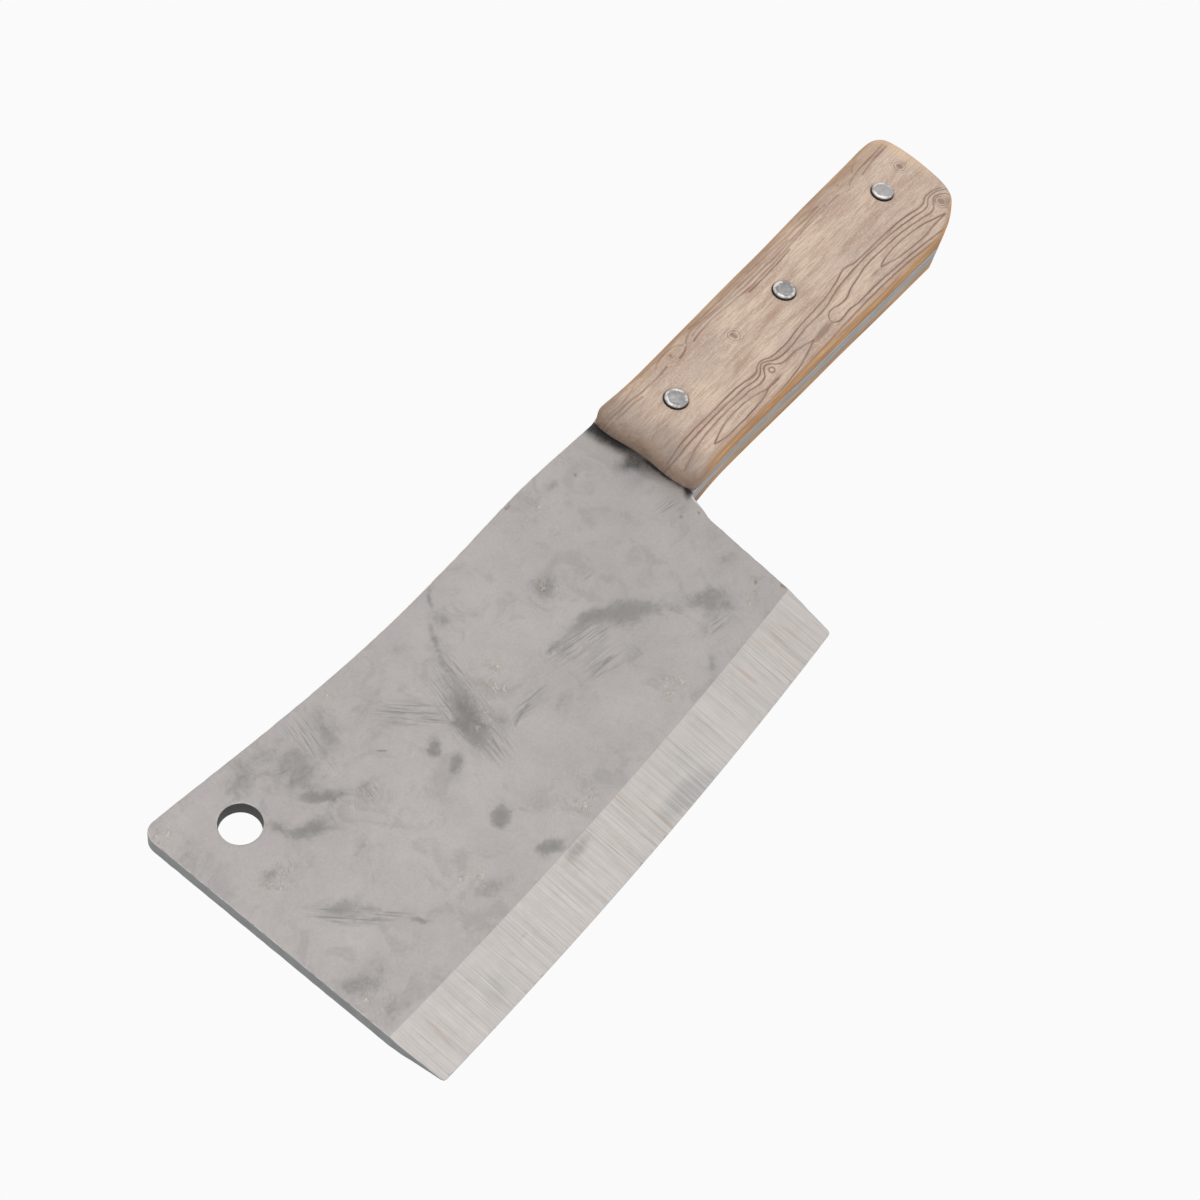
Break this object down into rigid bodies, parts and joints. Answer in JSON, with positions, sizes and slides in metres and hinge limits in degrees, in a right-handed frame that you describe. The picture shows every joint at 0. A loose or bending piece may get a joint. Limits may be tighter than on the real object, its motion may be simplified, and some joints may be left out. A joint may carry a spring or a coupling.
{
  "type": "meat cleaver",
  "caption": "Full-tang meat cleaver with a deep rectangular blade, a two-sided ground edge, a hang hole near the nose and a riveted wooden handle.",
  "frame": {"origin": "middle of the bottom of the whole cleaver as it lies flat, so z = 0 touches the lower rivet heads", "axes": "+X from the nose of the blade to the butt of the handle, +Y from the cutting edge to the spine, +Z out of the left blade face and along the hang hole"},
  "size_m": [0.2854, 0.0847, 0.0184],
  "materials": {
    "blade_steel": "worn carbon steel, dull grey with dark stains, ground lines on the bevel and light rust specks",
    "handle_wood": "dry, washed-out hardwood with bold growth lines, warmer on the sides and dirty near the blade",
    "rivet_steel": "rubbed bright, slightly dented"
  },
  "bodies": {
    "root": {"blade": "blade_steel", "scale_left": "handle_wood", "scale_right": "handle_wood", "rivet_socket_front": "rivet_steel", "rivet_socket_middle": "rivet_steel", "rivet_socket_rear": "rivet_steel", "rivet_stud_front": "rivet_steel", "rivet_stud_middle": "rivet_steel", "rivet_stud_rear": "rivet_steel"}
  },
  "joints": []
}
